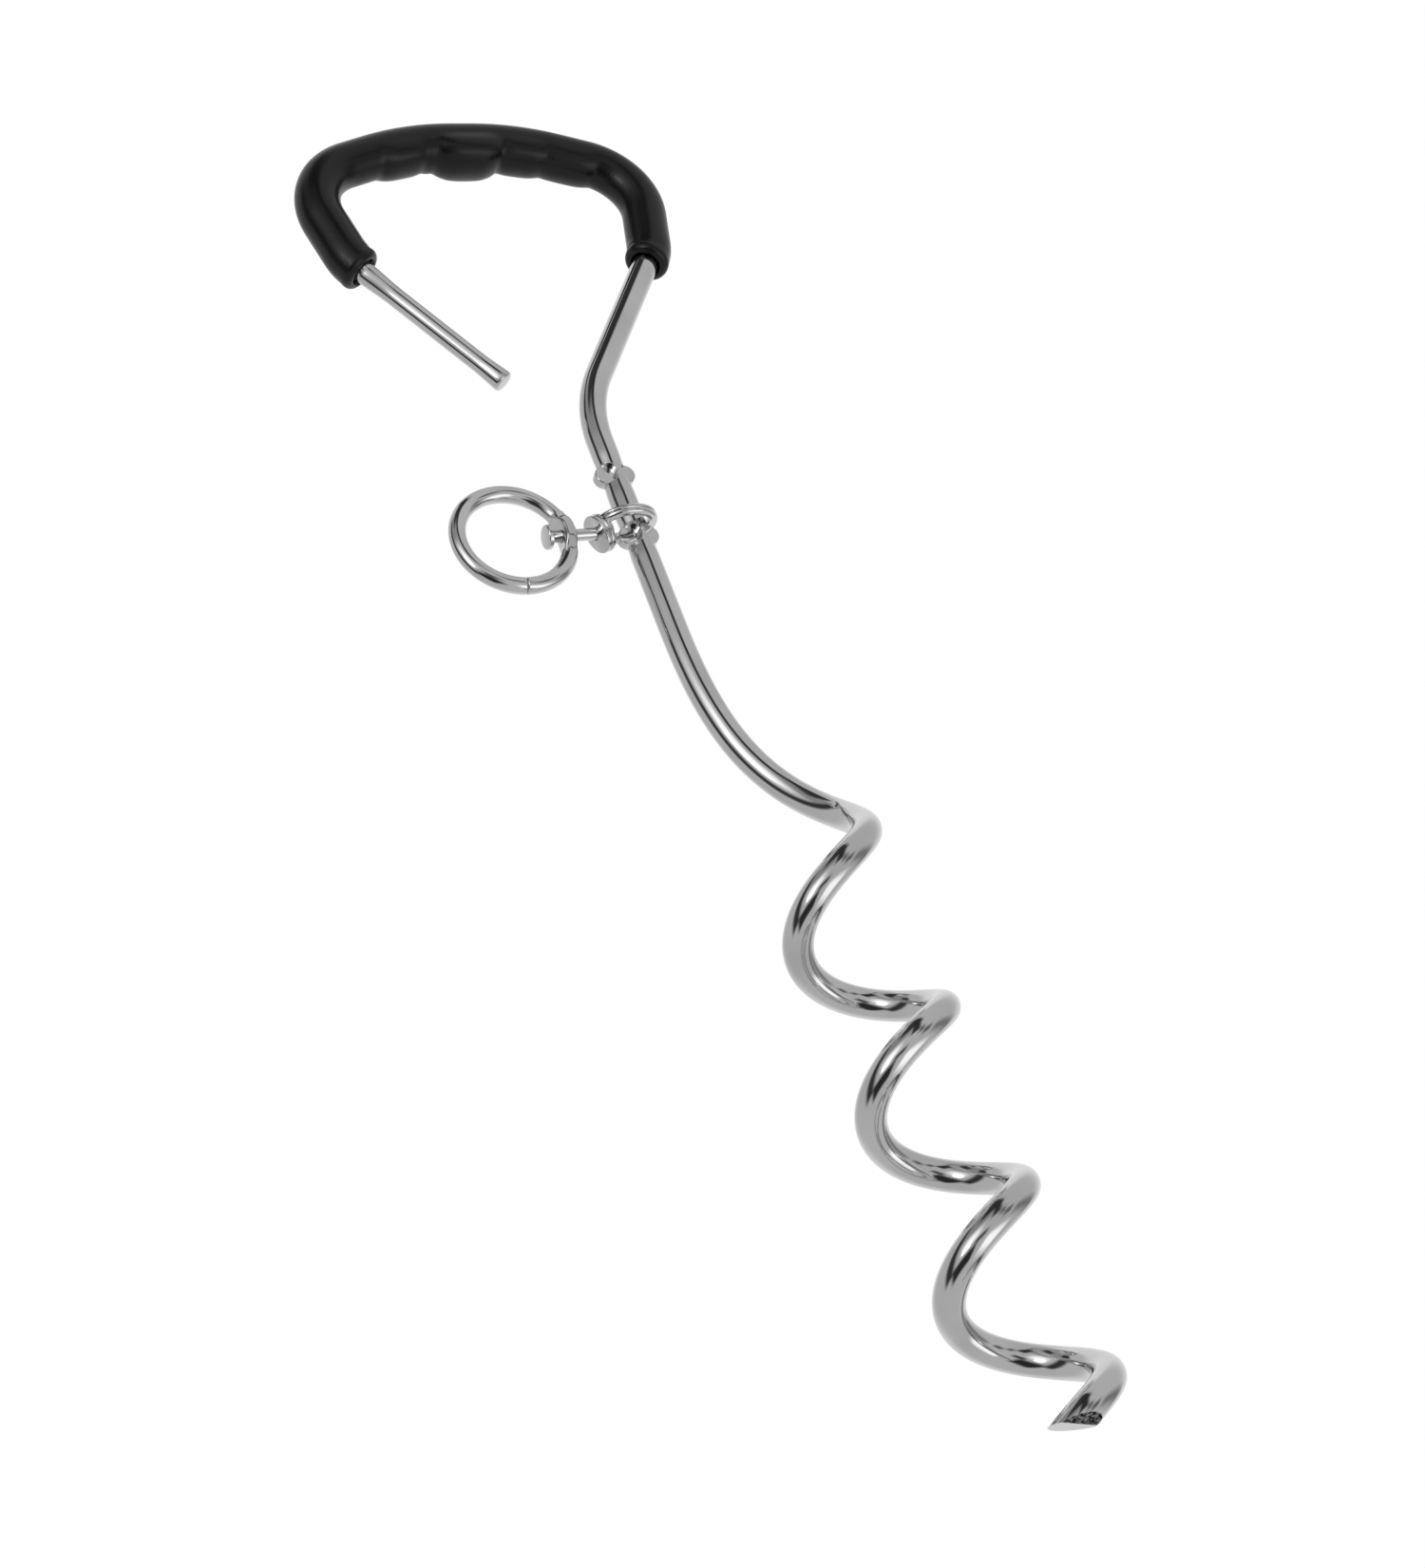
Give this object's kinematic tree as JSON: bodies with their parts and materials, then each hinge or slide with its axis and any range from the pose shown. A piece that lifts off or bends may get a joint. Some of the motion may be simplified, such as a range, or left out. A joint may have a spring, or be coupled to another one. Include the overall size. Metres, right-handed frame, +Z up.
{
  "type": "spiral ground stake",
  "caption": "Corkscrew ground stake bent from one plated steel rod, with a moulded finger grip on its open loop handle and a swivelling tether ring on the shaft.",
  "frame": {"origin": "on the straight shaft's axis, where it starts to curve into the spiral (about ground level when screwed in)", "axes": "+Z up along the shaft towards the handle, +X across the handle towards its free leg, +Y square to the handle's plane"},
  "size_m": [0.1175, 0.0482, 0.4419],
  "materials": {
    "rod_steel": "bright plated steel",
    "fitting_steel": "bright plated steel",
    "grip_vinyl": "semi-gloss moulded vinyl"
  },
  "bodies": {
    "stake": {"free_leg": "rod_steel", "handle_bow": "rod_steel", "fixed_leg": "rod_steel", "shaft": "rod_steel", "lead_in": "rod_steel", "coil": "rod_steel", "tip": "rod_steel", "grip": "grip_vinyl"},
    "collar": {"collar": "fitting_steel"},
    "pin": {"pin": "fitting_steel"},
    "ring": {"ring": "fitting_steel"}
  },
  "joints": [
    {"name": "collar_turn", "type": "hinge", "parent": "stake", "child": "collar", "pos_m": [0, 0, 0.0325], "axis": [0, 0, 1], "continuous": true},
    {"name": "pin_turn", "type": "hinge", "parent": "collar", "child": "pin", "pos_m": [0.0123, 0, 0.0325], "axis": [1, 0, 0], "continuous": true},
    {"name": "ring_play", "type": "slide", "parent": "pin", "child": "ring", "axis": [1, 0, 0], "range_m": [-0.0044, 0.0028]}
  ]
}
